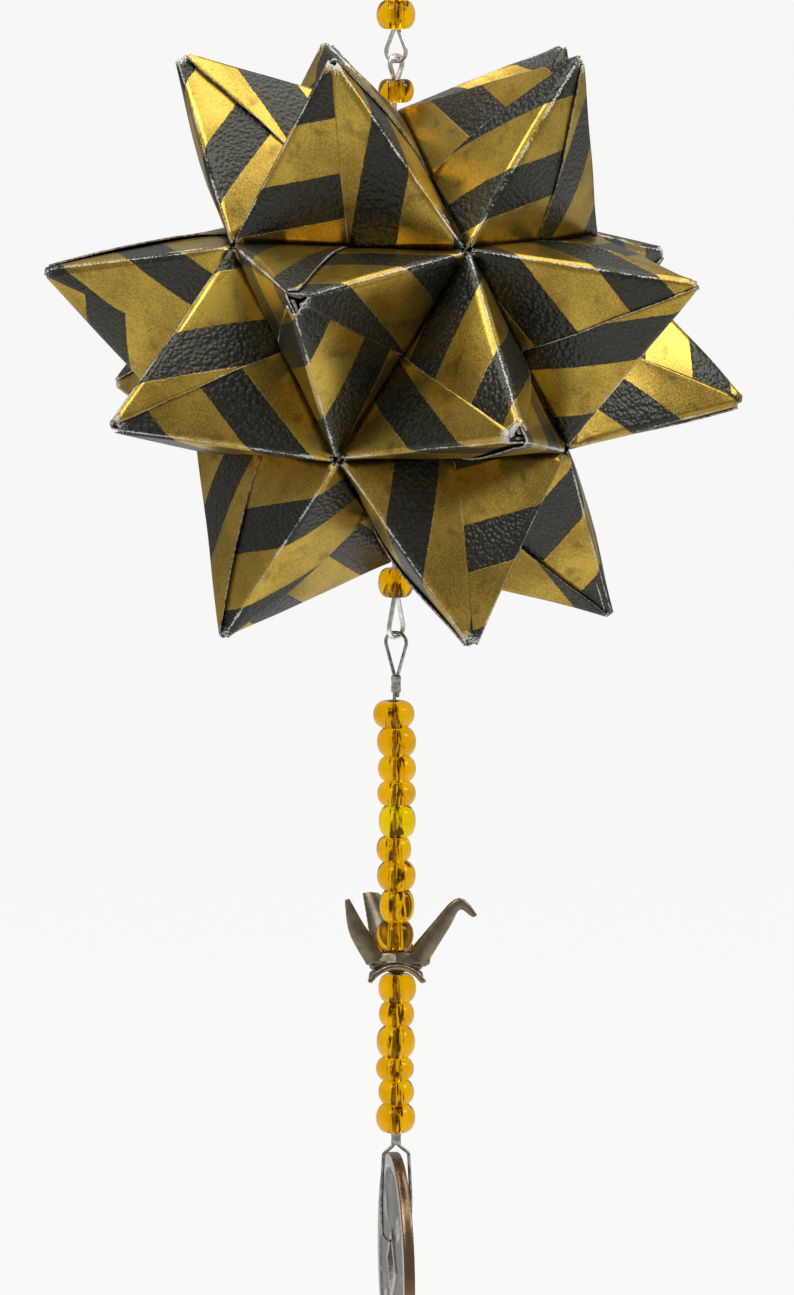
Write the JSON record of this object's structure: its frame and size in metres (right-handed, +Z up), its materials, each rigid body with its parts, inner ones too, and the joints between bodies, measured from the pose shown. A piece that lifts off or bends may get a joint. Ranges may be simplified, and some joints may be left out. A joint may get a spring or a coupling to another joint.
{
  "type": "folded paper ball ornament",
  "caption": "Spiky ball of interlocked folded striped paper units on a wire, hung by a loop, with a drop of glass beads, a crane charm and a square-holed coin.",
  "frame": {"origin": "highest point inside the hang loop, where a hook carries the ornament", "axes": "+Z up along the hanging line, +X to the right and -Y towards the viewer in the picture"},
  "size_m": [0.0737, 0.0708, 0.1601],
  "materials": {
    "striped_paper": "embossed black paper printed with bands of metallic gold",
    "amber_glass": "clear amber pressed glass, fire-polished",
    "honey_glass": "clear yellow amber pressed glass",
    "silver_wire": "bright silver-plated craft wire",
    "beading_wire": "grey coated beading wire",
    "crimp_metal": "dull pressed metal tube",
    "antique_bronze": "dark antique bronze, rubbed bright on the edges",
    "coin_metal": "grey bronze with a worn coppery rim"
  },
  "bodies": {
    "hanger": {"hanger_wire": "silver_wire", "hanger_bead_01": "amber_glass", "hanger_bead_02": "amber_glass"},
    "ball": {"paper_unit_01": "striped_paper", "paper_unit_02": "striped_paper", "paper_unit_03": "striped_paper", "paper_unit_04": "striped_paper", "paper_unit_05": "striped_paper", "paper_unit_06": "striped_paper", "paper_unit_07": "striped_paper", "paper_unit_08": "striped_paper", "paper_unit_09": "striped_paper", "paper_unit_10": "striped_paper", "paper_unit_11": "striped_paper", "paper_unit_12": "striped_paper", "paper_unit_13": "striped_paper", "paper_unit_14": "striped_paper", "paper_unit_15": "striped_paper", "paper_unit_16": "striped_paper", "paper_unit_17": "striped_paper", "paper_unit_18": "striped_paper", "paper_unit_19": "striped_paper", "paper_unit_20": "striped_paper", "paper_unit_21": "striped_paper", "paper_unit_22": "striped_paper", "paper_unit_23": "striped_paper", "paper_unit_24": "striped_paper", "paper_unit_25": "striped_paper", "paper_unit_26": "striped_paper", "paper_unit_27": "striped_paper", "paper_unit_28": "striped_paper", "paper_unit_29": "striped_paper", "paper_unit_30": "striped_paper", "ball_wire": "silver_wire", "top_bead": "amber_glass", "bottom_bead": "amber_glass"},
    "strand": {"strand_wire": "beading_wire", "upper_crimp": "crimp_metal", "lower_crimp": "crimp_metal", "strand_bead_01": "amber_glass", "strand_bead_02": "amber_glass", "strand_bead_03": "amber_glass", "strand_bead_04": "amber_glass", "strand_bead_05": "honey_glass", "strand_bead_06": "amber_glass", "strand_bead_07": "amber_glass", "strand_bead_08": "amber_glass", "strand_bead_09": "amber_glass", "strand_bead_10": "amber_glass", "strand_bead_11": "amber_glass", "strand_bead_12": "amber_glass", "strand_bead_13": "amber_glass", "strand_bead_14": "amber_glass", "strand_bead_15": "amber_glass"},
    "crane": {"crane": "antique_bronze"},
    "coin": {"coin": "coin_metal"}
  },
  "joints": [
    {"name": "ball_swing", "type": "hinge", "parent": "hanger", "child": "ball", "pos_m": [0, 0, -0.01975], "axis": [0.9063, -0.4226, 0], "range_deg": [-70, 70]},
    {"name": "strand_swing", "type": "hinge", "parent": "ball", "child": "strand", "pos_m": [0, 0, -0.07998], "axis": [0.6428, 0.766, 0], "range_deg": [-70, 70]},
    {"name": "crane_turn", "type": "hinge", "parent": "strand", "child": "crane", "pos_m": [0, 0, -0.11468], "axis": [0, 0, 1], "continuous": true},
    {"name": "coin_swing", "type": "hinge", "parent": "strand", "child": "coin", "pos_m": [0, 0, -0.14518], "axis": [0.9925, 0.1219, 0], "range_deg": [-40, 40]}
  ]
}
